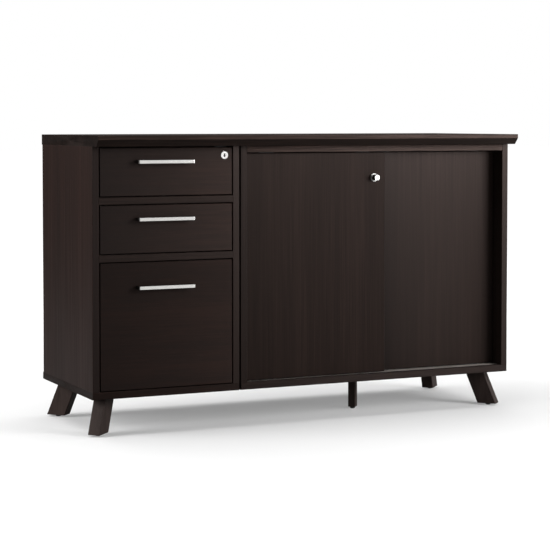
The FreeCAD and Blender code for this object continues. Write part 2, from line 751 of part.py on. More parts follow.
def new_runner_members(label, centres, web, lip, half):
    members = new_body(label, "pedestal_middle", "runner_front")
    ends = new_sketch(members, "XZ")
    for centre in centres:
        for hand in (-1, 1):
            runner_channel(ends, hand, centre, web, lip, half)
    pad(members, ends, "box_length", reverse=True)


for drawer in DRAWERS:
    drawer["front_body"] = new_front(drawer)
    new_box(drawer)
    new_handle(drawer)
    centre = [runner_centre(drawer)]
    new_runner_members(drawer["name"] + "_middle_members", centre, MIDDLE_WEB, NESTED_LIP, MIDDLE_HALF)
    new_runner_members(drawer["name"] + "_box_members", centre, "runner_width", BOX_LIP, INNER_HALF)
new_runner_members("runner_side_members", [runner_centre(drawer) for drawer in DRAWERS],
                   "0", NESTED_LIP, OUTER_HALF)

file_rails = new_body("file_rails", "pedestal_middle", "front_back",
                      "file_front_z + box_lift + file_side_height + file_rail_rise - file_rail_height")
ends = new_sketch(file_rails, "XZ")
for hand in (-1, 1):
    rectangle(ends, f"{hand} * (box_inside - file_rail_thickness) / 2 - file_rail_thickness / 2", "0",
              "file_rail_thickness", "file_rail_height")
pad(file_rails, ends, "box_length - box_thickness", reverse=True)


# ---- drawer lock ----

hole = new_sketch(DRAWERS[0]["front_body"], "XZ")
circle(hole, "lock_x - front_left", "lock_z - top_front_z", "lock_barrel_radius")
pocket(DRAWERS[0]["front_body"], hole, "front_thickness", reverse=False)


def cut_key_slot(body, mouth):
    """An upright key slot in a plug's face at local Y = mouth."""
    slot = new_sketch(body, "XZ", f"-({mouth})")
    rectangle(slot, "-key_slot_width / 2", "-key_slot_length / 2", "key_slot_width", "key_slot_length")
    pocket(body, slot, "key_slot_depth")


def turned_part(label, x, y, z, stack):
    """Coaxial cylinders along +Y, each a start, a length and a radius."""
    body = new_body(label, x, y, z)
    for start, length, radius in stack:
        disc = new_sketch(body, "XZ", f"-({start})")
        circle(disc, "0", "0", radius)
        pad(body, disc, length, reverse=True)
    return body


def bore(body, start, depth, radius):
    """A coaxial hole along +Y from local Y = start."""
    disc = new_sketch(body, "XZ", f"-({start})")
    circle(disc, "0", "0", radius)
    pocket(body, disc, depth)


def soften_rim(body, reach, radius):
    """A small bevel round the front face of a turned part, at local Y = -reach."""
    face, edge = -value(reach), value(radius)
    soften(body, lambda low, high: at(low, high, 1, face) and abs(high[0] - edge) < NEAR, "edge_round")


barrel_length = "lock_ring_thickness + front_thickness + lock_barrel_tail"
barrel = turned_part("drawer_lock_barrel", "lock_x", "carcass_front", "lock_z", [
    ("-lock_ring_thickness", "lock_ring_thickness", "lock_ring_radius"),
    ("-lock_ring_thickness", barrel_length, "lock_barrel_radius"),
])
bore(barrel, "-lock_ring_thickness", barrel_length, "lock_plug_radius + lock_play")
cam_y = "front_thickness + lock_barrel_tail + lock_play"
plug = turned_part("drawer_lock_plug", "lock_x", "carcass_front", "lock_z", [
    ("-lock_ring_thickness", f"lock_ring_thickness + {cam_y} + cam_thickness", "lock_plug_radius"),
    (f"{cam_y} + cam_thickness", "cam_nut_thickness", "lock_barrel_radius"),
])
cut_key_slot(plug, "-lock_ring_thickness")

cam = new_body("drawer_lock_cam", "lock_x", f"carcass_front + {cam_y}", "lock_z")
face = new_sketch(cam, "XZ")
rectangle(face, "-cam_reach", "-cam_width / 2", "cam_reach", "cam_width")
pad(cam, face, "cam_thickness", reverse=True)
face = new_sketch(cam, "XZ")
circle(face, "0", "0", "lock_barrel_radius")
pad(cam, face, "cam_thickness", reverse=True)
bore(cam, "0", "cam_thickness", "lock_plug_radius")

strike_x = "lock_x - strike_width / 2"
strike = new_body("drawer_lock_strike", strike_x, "carcass_front + strike_y", "carcass_top")
section = new_sketch(strike, "YZ")
outline(section, [
    ("0", "-strike_drop"),
    ("strike_steel", "-strike_drop"),
    ("strike_steel", "-strike_steel"),
    ("strike_drop", "-strike_steel"),
    ("strike_drop", "0"),
    ("0", "0"),
])
pad(strike, section, "strike_width")


# ---- sliding doors ----

GUIDE_STARTS = ("guide_inset", "door_width - guide_inset - guide_length")


def new_door(name, x, y):
    door = new_body(name, x, y, "door_z")
    face = new_sketch(door, "XZ")
    rectangle(face, "0", "0", "door_width", "door_height")
    pad(door, face, "door_thickness", reverse=True)
    soften_front(door)
    for start in GUIDE_STARTS:
        mortises = new_sketch(door, "YZ", start)
        for z in ("0", "door_height - guide_body_height"):
            rectangle(mortises, "(door_thickness - guide_body_width) / 2", z,
                      "guide_body_width", "guide_body_height")
        pocket(door, mortises, "guide_length", reverse=True)
    return door


def new_guides(label, x, y):
    """Two guides in the door's lower edge and two in its upper one, each with a blade in its channel."""
    guides = new_body(label, x, y, "door_z")
    low_tip = "lower_track_depth - track_wall + door_edge_gap - guide_clearance"
    high_tip = "door_height + door_edge_gap + upper_engagement"
    middle = "door_thickness / 2"
    for start in GUIDE_STARTS:
        ends = new_sketch(guides, "YZ", start)
        for edge, root, tip in (
            ("0", "guide_body_height", f"-({low_tip})"),
            ("door_height", "door_height - guide_body_height", high_tip),
        ):
            outline(ends, [
                (f"{middle} - guide_body_width / 2", root),
                (f"{middle} - guide_body_width / 2", edge),
                (f"{middle} - guide_blade / 2", edge),
                (f"{middle} - guide_blade / 2", tip),
                (f"{middle} + guide_blade / 2", tip),
                (f"{middle} + guide_blade / 2", edge),
                (f"{middle} + guide_body_width / 2", edge),
                (f"{middle} + guide_body_width / 2", root),
            ])
        pad(guides, ends, "guide_length")


left_door = new_door("left_door", "left_door_x", "left_door_y")
new_guides("left_door_guides", "left_door_x", "left_door_y")
new_door("right_door", "right_door_x", "right_door_y")
new_guides("right_door_guides", "right_door_x", "right_door_y")


# ---- push-in lock of the left door ----

hole = new_sketch(left_door, "XZ")
circle(hole, "door_width - door_lock_inset", "door_height - door_lock_drop", "door_barrel_radius")
pocket(left_door, hole, "door_thickness", reverse=False)

housing = turned_part("door_lock_housing", "door_lock_x", "left_door_y", "door_lock_z", [
    ("-door_ring_thickness", "door_ring_thickness", "door_ring_radius"),
    ("0", "door_thickness", "door_barrel_radius"),
])
bore(housing, "-door_ring_thickness", "door_ring_thickness + plunger_bore", "plunger_radius + lock_play")
bore(housing, "0", "door_thickness", "bolt_radius + lock_play")
soften_rim(housing, "door_ring_thickness", "door_ring_radius")

plunger = turned_part("door_lock_plunger", "door_lock_x", "left_door_y", "door_lock_z", [
    ("-plunger_reach", "plunger_reach + plunger_tail", "plunger_radius"),
    ("plunger_tail", "door_thickness - plunger_tail - lock_play", "bolt_radius"),
])
bore(plunger, "-plunger_reach", "door_plug_length + lock_play", "door_plug_radius + lock_play")
soften_rim(plunger, "plunger_reach", "plunger_radius")

door_plug = turned_part("door_lock_plug", "door_lock_x", "left_door_y", "door_lock_z", [
    ("-plunger_reach", "door_plug_length", "door_plug_radius"),
])
cut_key_slot(door_plug, "-plunger_reach")

# The keeper's plate lies on the right door, and its stop stands beside the bolt's path.
keeper_x = "door_lock_x + bolt_radius + keeper_play"
keeper = new_body("door_lock_keeper", keeper_x, "right_door_y", "door_lock_z")
face = new_sketch(keeper, "XZ")
rectangle(face, "0", "-keeper_height / 2", "keeper_width", "keeper_height")
pad(keeper, face, "keeper_steel")
face = new_sketch(keeper, "XZ")
rectangle(face, "0", "-keeper_height / 4", "keeper_stop", "keeper_height / 2")
pad(keeper, face, "door_clearance - keeper_gap")


# ---- checks and files ----

doc.recompute()
for thing in doc.Objects:
    if "Invalid" in thing.State or "Error" in thing.State:
        raise RuntimeError(f"{thing.Label} failed: {thing.State}")

inner = {piece.Name for piece in pins}
nodes = [
    thing for thing in doc.Objects
    if thing.TypeId in ("PartDesign::Body", "Part::Box", "Part::Compound") and thing.Name not in inner
]
os.makedirs("parts", exist_ok=True)
for node in nodes:
    if node.Shape.isNull() or not node.Shape.isValid():
        raise RuntimeError(node.Label + " has no valid shape")
    node.Shape.exportStep(f"parts/{node.Label}.step")
print(len(nodes), "sub-parts written")
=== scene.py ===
import math

import bmesh
import bpy
from mathutils import Matrix, Vector


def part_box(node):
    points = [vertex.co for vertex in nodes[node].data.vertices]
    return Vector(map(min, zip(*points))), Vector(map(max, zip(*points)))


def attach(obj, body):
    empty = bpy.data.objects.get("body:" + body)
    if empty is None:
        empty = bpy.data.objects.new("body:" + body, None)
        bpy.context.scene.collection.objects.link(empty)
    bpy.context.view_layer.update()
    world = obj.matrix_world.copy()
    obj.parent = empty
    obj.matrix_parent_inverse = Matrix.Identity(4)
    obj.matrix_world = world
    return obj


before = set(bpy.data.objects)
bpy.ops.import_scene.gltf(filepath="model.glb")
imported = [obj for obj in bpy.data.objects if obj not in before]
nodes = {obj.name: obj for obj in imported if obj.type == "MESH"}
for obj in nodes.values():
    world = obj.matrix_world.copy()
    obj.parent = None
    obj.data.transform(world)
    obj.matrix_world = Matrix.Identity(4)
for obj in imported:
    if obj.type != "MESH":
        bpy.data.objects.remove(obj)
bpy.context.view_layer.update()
drawerNames = ("top_drawer", "middle_drawer", "file_drawer")
print("frame loaded,", len(nodes), "nodes")


# node helpers

def newMaterial(name):
    # an empty Principled material: returns the material, its tree and the shader
    material = bpy.data.materials.new(name)
    material.use_nodes = True
    tree = material.node_tree
    return material, tree, tree.nodes["Principled BSDF"]


def addNode(tree, kind, **settings):
    # settings with a capital are socket values, the others are properties
    node = tree.nodes.new("ShaderNode" + kind)
    for key, value in settings.items():
        if key[0].isupper():
            node.inputs[key.replace("_", " ")].default_value = value
        else:
            setattr(node, key, value)
    return node


def objectCoordinates(tree, scale=(1, 1, 1), offset=(0, 0, 0)):
    place = addNode(tree, "TexCoord")
    mapping = addNode(tree, "Mapping", Scale=scale, Location=offset)
    tree.links.new(place.outputs["Object"], mapping.inputs["Vector"])
    return mapping.outputs["Vector"]


def noiseOf(tree, vector, scale, detail=3.0, roughness=0.5, distortion=0.0):
    noise = addNode(tree, "TexNoise", Scale=scale, Detail=detail, Roughness=roughness, Distortion=distortion)
    tree.links.new(vector, noise.inputs["Vector"])
    return noise.outputs["Fac"]


def remapped(tree, value, fromLow, fromHigh, toLow, toHigh):
    span = addNode(tree, "MapRange", From_Min=fromLow, From_Max=fromHigh, To_Min=toLow, To_Max=toHigh)
    tree.links.new(value, span.inputs["Value"])
    return span.outputs["Result"]


def maths(tree, operation, first, second):
    node = addNode(tree, "Math", operation=operation)
    for socket, value in zip(node.inputs, (first, second)):
        if isinstance(value, (int, float)):
            socket.default_value = value
        else:
            tree.links.new(value, socket)
    return node.outputs["Value"]


def blended(tree, factor, first, second, mode="MIX"):
    # colours or sockets mixed by a factor
    node = addNode(tree, "Mix", data_type="RGBA", blend_type=mode)
    for index, value in ((0, factor), (6, first), (7, second)):
        if isinstance(value, bpy.types.NodeSocket):
            tree.links.new(value, node.inputs[index])
        elif isinstance(value, (int, float)):
            node.inputs[index].default_value = value
        else:
            node.inputs[index].default_value = (*value, 1)
    return node.outputs[2]


def facing(tree, axis):
    # 1 on faces that look along an axis, -1 on those that look the other way
    split = addNode(tree, "SeparateXYZ")
    tree.links.new(addNode(tree, "NewGeometry").outputs["Normal"], split.inputs["Vector"])
    return split.outputs[axis]


def placeAlong(tree, axis, scale=1.0):
    # the place along one axis, in metres times the scale
    split = addNode(tree, "SeparateXYZ")
    tree.links.new(objectCoordinates(tree, (scale,) * 3), split.inputs["Vector"])
    return split.outputs[axis]


def bumped(tree, shader, height, strength, distance, edgeRound=0.0):
    # a bump; with a radius it also softens the light on sharp edges
    bump = addNode(tree, "Bump", Strength=strength, Distance=distance)
    tree.links.new(height, bump.inputs["Height"])
    if edgeRound:
        rounded = addNode(tree, "Bevel", samples=4, Radius=edgeRound)
        tree.links.new(rounded.outputs["Normal"], bump.inputs["Normal"])
    tree.links.new(bump.outputs["Normal"], shader.inputs["Normal"])


def edgeMask(tree, radius, sharpness):
    # 1 along the edges of a board and 0 on its faces
    rounded = addNode(tree, "Bevel", samples=4, Radius=radius)
    flat = addNode(tree, "NewGeometry")
    dot = addNode(tree, "VectorMath", operation="DOT_PRODUCT")
    tree.links.new(rounded.outputs["Normal"], dot.inputs[0])
    tree.links.new(flat.outputs["Normal"], dot.inputs[1])
    return remapped(tree, dot.outputs["Value"], 1.0, 1.0 - sharpness, 0.0, 1.0)


def srgb(red, green, blue):
    # linear values of a colour given as 0 to 255
    def linear(value):
        value /= 255
        return value / 12.92 if value <= 0.04045 else ((value + 0.055) / 1.055) ** 2.4

    return tuple(linear(value) for value in (red, green, blue))


def shaded(color, share):
    # a colour times a number, or times a number for each channel
    shares = share if isinstance(share, tuple) else (share,) * 3
    return tuple(value * part for value, part in zip(color, shares))


def grainScale(direction, along, across):
    # stretches a pattern along one axis
    return tuple(along if axis == direction else across for axis in range(3))


def dress(node, material):
    # gives a CAD node its finish
    data = nodes[node].data
    data.materials.clear()
    data.materials.append(material)


# espresso laminate

laminateValues = {
    "dark": srgb(16, 11, 9),
    "body": srgb(23, 16.5, 14),
    "light": srgb(31, 23, 20),
    "edge": srgb(52, 40, 35),
    "roughness": (0.48, 0.37),  # of the dark and of the light streaks
    "specular": 0.2,
    "sheenTint": (1.0, 0.78, 0.72),
    "matteTop": 0.42,  # added to the roughness of faces that look up
    "matteFront": 0.3,  # added to that of a black front edge, and less as the edge's share grows to 1
    "bandShare": 0.3,
    "wear": (0.05, 0.4),  # least and most of the edge colour
    "wearRadius": 0.0012,
    "edgeRound": 0.0006,
    # patterns as scales along and across the grain
    "bands": (0.6, 14),
    "pores": (40, 1500),
    "streaksAcross": 150,
    "hairsAcross": 420,
    # for grain along X, Y and Z
    "streaksAlong": (6.0, 2.2, 2.2),
    "hairsAlong": (9.0, 4.0, 4.0),
    "toneSpread": (0.06, 0.12, 0.12),
    "anisotropy": (0.75, 0.6, 0.55),
    "grainHeight": (0.0002, 0.00005, 0.00005),
}
# grain axis (0 X, 1 Y, 2 Z), shade, sheen, and the front edge's share of the shade; each shade is partly the
# board's own tone and partly painted light and shade fitted to how the lamps fall on that board, and a front
# edge share above 1 is painted light on that edge
boards = {
    "worktop": (0, 1.1, 0.62, 3.1),
    "cabinet_top": (0, 1.15, 0.84, 3.5),
    "pedestal_bottom": (0, (0.9, 0.72, 0.65), 0.6, 1),
    "cabinet_bottom": (0, 0.8, 0.62, 1),
    "upper_rail": (0, 1.0, 1.0, 1),
    "lower_rail": (0, 0.95, 0.95, 1),
    "pedestal_stretchers": (0, 0.9, 0.9, 1),
    "shelf": (0, 1.0, 1.0, 1),
    "top_drawer_front": (0, (0.95, 0.72, 0.64), 1.22, 1),
    "middle_drawer_front": (0, (0.9, 0.68, 0.6), 1.12, 1),
    "file_drawer_front": (0, (0.8, 0.56, 0.48), 0.8, 1),
    "pedestal_left_side": (2, (1.5, 1.15, 1.1), 1.0, 0.25),
    "pedestal_right_side": (2, 1.05, 1.05, 1),
    "cabinet_left_side": (2, 0.95, 0.78, 0.8),
    "cabinet_right_side": (2, 1.05, 1.05, 1),
    "left_door": (2, 1.45, 0.52, 1),
    "right_door": (2, 1.25, 0.88, 1),
}
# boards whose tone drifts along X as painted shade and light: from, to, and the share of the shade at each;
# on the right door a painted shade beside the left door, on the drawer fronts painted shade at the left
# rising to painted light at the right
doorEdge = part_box("left_door")[1].x
paintedShadeAndLightDrifts = {"right_door": (doorEdge + 0.008, doorEdge + 0.092, 0.15, 1.0)}
for drawer, shares in zip(drawerNames, ((0.15, 1.25), (0.15, 1.25), (0.6, 1.1))):
    low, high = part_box(drawer + "_front")
    paintedShadeAndLightDrifts[drawer + "_front"] = (low.x, high.x, *shares)


def laminateGrain(tree, direction, offset):
    # returns the broad bands, the fine streaks with their hairlines, and a mask of the pores
    values = laminateValues

    def pattern(along, across, detail, roughness=0.5, distortion=0.0):
        vector = objectCoordinates(tree, grainScale(direction, along, across), offset)
        return noiseOf(tree, vector, 1.0, detail, roughness, distortion)

    bands = pattern(*values["bands"], 4.0, 0.6, 0.4)
    streaks = pattern(values["streaksAlong"][direction], values["streaksAcross"], 4.0, 0.65)
    hairs = pattern(values["hairsAlong"][direction], values["hairsAcross"], 2.0)
    fine = maths(tree, "MULTIPLY", maths(tree, "ADD", streaks, hairs), 0.5)
    pores = remapped(tree, pattern(*values["pores"], 2.0), 0.60, 0.72, 0.0, 0.5)
    return bands, fine, pores


def laminateTone(tree, direction, shade, bands, fine, pores):
    # the printed colours by tone, darker in the pores and lighter where the edges are worn
    values = laminateValues
    tone = maths(tree, "ADD", maths(tree, "MULTIPLY", bands, values["bandShare"]),
                 maths(tree, "MULTIPLY", fine, 1 - values["bandShare"]))
    ramp = addNode(tree, "ValToRGB")
    spread = values["toneSpread"][direction]
    for stop, place, color in zip(ramp.color_ramp.elements, (0.5 - spread, 0.5 + spread), ("dark", "light")):
        stop.position = place
        stop.color = (*shaded(values[color], shade), 1)
    ramp.color_ramp.elements.new(0.5).color = (*shaded(values["body"], shade), 1)
    tree.links.new(tone, ramp.inputs["Fac"])
    grained = blended(tree, pores, ramp.outputs["Color"], shaded(values["dark"], shade))
    worn = maths(tree, "MULTIPLY", edgeMask(tree, values["wearRadius"], 0.25),
                 remapped(tree, bands, 0.35, 0.65, *values["wear"]))
    return blended(tree, worn, grained, values["edge"])


def makeLaminate(board, direction, shade, sheen, edgeShare, offset):
    # wood-grain laminate whose front edge may have a tone of its own: a darker edge band below 1, painted
    # light on that edge above 1
    values = laminateValues
    material, tree, shader = newMaterial("laminate_" + board)
    bands, fine, pores = laminateGrain(tree, direction, offset)
    forward, upward = facing(tree, "Y"), facing(tree, "Z")
    # the front edge's share of the shade: a darker edge band, or painted light where it is above 1
    share = remapped(tree, forward, -0.8, -0.95, 1.0, edgeShare)
    # painted shade and light: the tone darkens or lightens along X on the boards that drift
    if board in paintedShadeAndLightDrifts:
        share = maths(tree, "MULTIPLY", share, remapped(tree, placeAlong(tree, "X"), *paintedShadeAndLightDrifts[board]))
    toned = addNode(tree, "VectorMath", operation="SCALE")
    tree.links.new(laminateTone(tree, direction, shade, bands, fine, pores), toned.inputs[0])
    tree.links.new(share, toned.inputs["Scale"])
    tree.links.new(toned.outputs["Vector"], shader.inputs["Base Color"])
    gloss = remapped(tree, fine, 0.36, 0.64, *values["roughness"])
    matte = maths(tree, "ADD", remapped(tree, upward, 0.8, 0.95, 0.0, values["matteTop"]),
                  remapped(tree, forward, -0.8, -0.95, 0.0, max(0.0, 1.0 - edgeShare) * values["matteFront"]))
    tree.links.new(maths(tree, "ADD", gloss, matte), shader.inputs["Roughness"])
    shader.inputs["Specular IOR Level"].default_value = values["specular"] * sheen
    shader.inputs["Specular Tint"].default_value = (*values["sheenTint"], 1)
    shader.inputs["Anisotropic"].default_value = values["anisotropy"][direction]
    across = addNode(tree, "Tangent", direction_type="RADIAL", axis="XYZ"[direction])
    tree.links.new(across.outputs["Tangent"], shader.inputs["Tangent"])
    relief = maths(tree, "SUBTRACT", fine, pores)
    bumped(tree, shader, relief, 0.35, values["grainHeight"][direction], values["edgeRound"])
    return material


for index, (board, (direction, shade, sheen, edgeShare)) in enumerate(boards.items()):
    offset = (index * 1.7, index * 0.9, index * 2.3)
    dress(board, makeLaminate(board, direction, shade, sheen, edgeShare, offset))
print("laminate laid on", len(boards), "boards")


# stained solid wood of the legs

woodValues = {
    "dark": srgb(36, 29, 27),
    "light": srgb(54, 45, 42),
    "ringScale": (38, 38, 5),
    "fibreScale": (700, 700, 24),
    "roughness": 0.5,
    "specular": 0.14,
    "sheenTint": (1.0, 0.85, 0.8),
    "edgeRound": 0.0016,
}


def makeStainedWood(name, shade, offset):
    values = woodValues
    material, tree, shader = newMaterial(name)
    rings = noiseOf(tree, objectCoordinates(tree, values["ringScale"], offset), 1.0, 4.0, 0.55, 0.9)
    fibre = noiseOf(tree, objectCoordinates(tree, values["fibreScale"], offset), 1.0, 3.0, 0.6)
    tone = maths(tree, "ADD", maths(tree, "MULTIPLY", rings, 0.6), maths(tree, "MULTIPLY", fibre, 0.4))
    stain = blended(tree, remapped(tree, tone, 0.36, 0.64, 0.0, 1.0), shaded(values["dark"], shade),
                    shaded(values["light"], shade))
    worn = maths(tree, "MULTIPLY", edgeMask(tree, 0.002, 0.3), 0.3)
    tree.links.new(blended(tree, worn, stain, shaded(values["light"], 2.0)), shader.inputs["Base Color"])
    tree.links.new(
        remapped(tree, fibre, 0.3, 0.7, values["roughness"] - 0.05, values["roughness"] + 0.06),
        shader.inputs["Roughness"],
    )
    shader.inputs["Specular IOR Level"].default_value = values["specular"]
    shader.inputs["Specular Tint"].default_value = (*values["sheenTint"], 1)
    bumped(tree, shader, fibre, 0.3, 0.00008, values["edgeRound"])
    return material


# each leg's shade: partly its own stain, partly painted light that lifts the rear legs and the support post
# where the lamps leave them darker
legToneAndPaintedLight = {
    "front_left_leg": 1.05,
    "front_right_leg": 1.2,
    "rear_left_leg": 1.6,
    "rear_right_leg": 1.2,
    "support_post": 1.5,
}
for index, (leg, shade) in enumerate(legToneAndPaintedLight.items()):
    dress(leg, makeStainedWood("stain_" + leg, shade, (index * 0.37, index * 0.61, 0)))


# hardboard of the backs

hardboardValues = {
    "color": srgb(40, 32, 29),
    "fleck": srgb(62, 51, 45),
    "feltScale": 1400,
    "cloudScale": 7,
    "roughness": 0.62,
    "specular": 0.2,
}


def makeHardboard():
    values = hardboardValues
    material, tree, shader = newMaterial("hardboard")
    felt = noiseOf(tree, objectCoordinates(tree, (values["feltScale"],) * 3), 1.0, 4.0, 0.7)
    cloud = noiseOf(tree, objectCoordinates(tree, (values["cloudScale"],) * 3), 1.0, 3.0, 0.5)
    flecks = remapped(tree, felt, 0.52, 0.75, 0.0, 0.6)
    ground = blended(tree, remapped(tree, cloud, 0.3, 0.7, 0.0, 0.35), values["color"],
                     shaded(values["color"], 0.7))
    tree.links.new(blended(tree, flecks, ground, values["fleck"]), shader.inputs["Base Color"])
    tree.links.new(
        remapped(tree, cloud, 0.3, 0.7, values["roughness"] - 0.06, values["roughness"] + 0.06),
        shader.inputs["Roughness"],
    )
    shader.inputs["Specular IOR Level"].default_value = values["specular"]
    bumped(tree, shader, felt, 0.3, 0.0001)
    return material


hardboard = makeHardboard()
for node in ("pedestal_back", "cabinet_back"):
    dress(node, hardboard)
print("legs and backs done")


# metals

metalValues = {
    "satinNickel": {"color": (0.68, 0.67, 0.65), "roughness": 0.22, "streak": 0.04},
    "lockNickel": {"color": (0.88, 0.87, 0.85), "roughness": 0.18, "streak": 0.03},
    "ringNickel": {"color": (0.34, 0.34, 0.33), "roughness": 0.36, "streak": 0.03},
    "plugSteel": {"color": (0.55, 0.55, 0.54), "roughness": 0.24, "streak": 0.04},
    "zincSteel": {"color": (0.60, 0.61, 0.62), "roughness": 0.38, "streak": 0.08},
}
brushScale = (60, 4000)  # along and across the brushing
blotchScale = 60


def makeMetal(finish, variant="", direction=0, keywayShade=None, sides=1.0):
    # brushed metal; a key slot can be drawn as painted shade, a dark upright oval, paler in its middle,
    # placed in X and Z, and sides is the share of the colour on faces turned away from the front, a painted
    # shade on those faces
    values = metalValues[finish]
    material, tree, shader = newMaterial(finish + variant)
    brush = noiseOf(tree, objectCoordinates(tree, grainScale(direction, *brushScale)), 1.0, 3.0)
    blotch = noiseOf(tree, objectCoordinates(tree, (blotchScale,) * 3), 1.0, 3.0)
    color = blended(tree, remapped(tree, blotch, 0.35, 0.7, 0.0, 0.35), values["color"],
                    shaded(values["color"], 0.86))
    # painted shade on the faces turned away from the front
    if sides < 1:
        turned = remapped(tree, facing(tree, "Y"), -0.97, -0.85, 0.0, 1.0)
        color = blended(tree, turned, color, shaded(values["color"], sides))
    # painted shade of the key slot: a dark oval, paler in its middle, that is not metallic
    if keywayShade:
        ellipse = addNode(tree, "VectorMath", operation="LENGTH")
        span = (1 / keywayShade["width"], 0, 1 / keywayShade["height"])
        shift = (-keywayShade["x"] * span[0], 0, -keywayShade["z"] * span[2])
        tree.links.new(objectCoordinates(tree, span, shift), ellipse.inputs[0])
        radius = ellipse.outputs["Value"]
        slotShade = maths(tree, "SUBTRACT", remapped(tree, radius, 0.9, 1.0, 1.0, 0.0),
                     remapped(tree, radius, 0.3, 0.42, 0.7, 0.0))
        color = blended(tree, slotShade, color, keywayShade["color"])
        tree.links.new(remapped(tree, slotShade, 0.0, 1.0, 1.0, 0.0), shader.inputs["Metallic"])
    else:
        shader.inputs["Metallic"].default_value = 1.0
    tree.links.new(color, shader.inputs["Base Color"])
    tree.links.new(
        remapped(tree, brush, 0.3, 0.7, values["roughness"] - values["streak"],
                 values["roughness"] + values["streak"]),
        shader.inputs["Roughness"],
    )
    bumped(tree, shader, brush, 0.2, 0.00002)
    return material


# the pulls' faces turned away from the front carry painted shade
satinNickel = makeMetal("satinNickel", sides=0.22)
lockNickel = makeMetal("lockNickel")
zincSteel = makeMetal("zincSteel", direction=1)
low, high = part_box("drawer_lock_plug")
# the key slot of the drawer lock's plug, drawn as painted shade
drawerKeywayShade = {
    "x": (low.x + high.x) / 2,
    "z": (low.z + high.z) / 2,
    "width": 0.0028,
    "height": 0.0052,
    "color": (0.02, 0.02, 0.02),
}
for drawer in drawerNames:
    dress(drawer + "_handle", satinNickel)
    dress(drawer + "_middle_members", zincSteel)
    dress(drawer + "_box_members", zincSteel)
for node in ("runner_side_members", "file_rails", "drawer_lock_cam", "door_lock_keeper",
             "leg_bolts", "module_connectors", "shelf_pins"):
    dress(node, zincSteel)
dress("drawer_lock_barrel", lockNickel)
# painted shade on the sides of the lock's ring and plunger
dress("door_lock_housing", makeMetal("ringNickel", sides=0.3))
dress("door_lock_plunger", makeMetal("lockNickel", "_pushed", sides=0.06))
dress("drawer_lock_plug", makeMetal("lockNickel", "_keyway", keywayShade=drawerKeywayShade))
dress("door_lock_plug", makeMetal("plugSteel"))


# plastics, and a near-black strike as painted shade in the drawer gap

plasticValues = {
    "blackNylon": {"color": srgb(30, 28, 27), "roughness": 0.42},
    "trackGrey": {"color": srgb(128, 122, 117), "roughness": 0.4},
    # the strike is near black as painted shade, so that the gap around the drawer front shows dark
    "gapShadeBlack": {"color": srgb(22, 21, 21), "roughness": 0.5},
}
mottleScale = 900
plasticNodes = {
    "blackNylon": ("glides", "left_door_guides", "right_door_guides"),
    "trackGrey": ("upper_door_track", "lower_door_track"),
    "gapShadeBlack": ("drawer_lock_strike",),
}


def makePlastic(name):
    color, roughness = plasticValues[name]["color"], plasticValues[name]["roughness"]
    material, tree, shader = newMaterial(name)
    mottle = noiseOf(tree, objectCoordinates(tree, (mottleScale,) * 3), 1.0, 2.0)
    tree.links.new(
        blended(tree, remapped(tree, mottle, 0.3, 0.7, 0.0, 0.5), color, shaded(color, 1.25)),
        shader.inputs["Base Color"],
    )
    tree.links.new(
        remapped(tree, mottle, 0.3, 0.7, roughness - 0.06, roughness + 0.06),
        shader.inputs["Roughness"],
    )
    bumped(tree, shader, mottle, 0.3, 0.00003, 0.0004)
    return material


for name, wearers in plasticNodes.items():
    plastic = makePlastic(name)
    for node in wearers:
        dress(node, plastic)


# birch drawer boxes

birchValues = {
    "pale": srgb(214, 186, 146),
    "deep": srgb(186, 150, 108),
    "plyDark": srgb(140, 104, 70),
    "plyThickness": 0.0015,
    # patterns as scales along and across the grain
    "figure": (2.2, 26),
    "fibre": (30, 900),
    "roughness": 0.42,
}


def makeBirch(name, grain, layers):
    # lacquered birch ply: grain along one axis, layers stacked along another
    values = birchValues
    material, tree, shader = newMaterial(name)
    figure = noiseOf(tree, objectCoordinates(tree, grainScale(grain, *values["figure"])), 1.0, 4.0, 0.6, 0.8)
    fibre = noiseOf(tree, objectCoordinates(tree, grainScale(grain, *values["fibre"])), 1.0, 3.0)
    tone = maths(tree, "ADD", maths(tree, "MULTIPLY", figure, 0.7), maths(tree, "MULTIPLY", fibre, 0.3))
    wood = blended(tree, remapped(tree, tone, 0.35, 0.65, 0.0, 1.0), values["pale"], values["deep"])
    turn = maths(tree, "FRACT", placeAlong(tree, layers, 0.5 / values["plyThickness"]), 0)
    layer = maths(tree, "GREATER_THAN", turn, 0.5)
    ply = blended(tree, maths(tree, "MULTIPLY", layer, 0.45), wood, values["plyDark"])
    tree.links.new(ply, shader.inputs["Base Color"])
    tree.links.new(
        remapped(tree, figure, 0.3, 0.7, values["roughness"] - 0.06, values["roughness"] + 0.06),
        shader.inputs["Roughness"],
    )
    bumped(tree, shader, fibre, 0.25, 0.00005, 0.0005)
    return material


sideBirch = makeBirch("birchSide", 1, 0)
backBirch = makeBirch("birchBack", 0, 1)
trayBirch = makeBirch("birchTray", 1, 2)
for drawer in drawerNames:
    dress(drawer + "_sides", sideBirch)
    dress(drawer + "_back", backBirch)
    dress(drawer + "_bottom", trayBirch)
print("metals, plastics and ply done")


# screw heads

screwValues = {
    "sides": 18,
    "handleRadius": 0.0042,
    "handleHeight": 0.0022,
    "panelRadius": 0.0034,
    "panelHeight": 0.0009,
    "panelInset": 0.0075,
    "panelRows": 5,
}


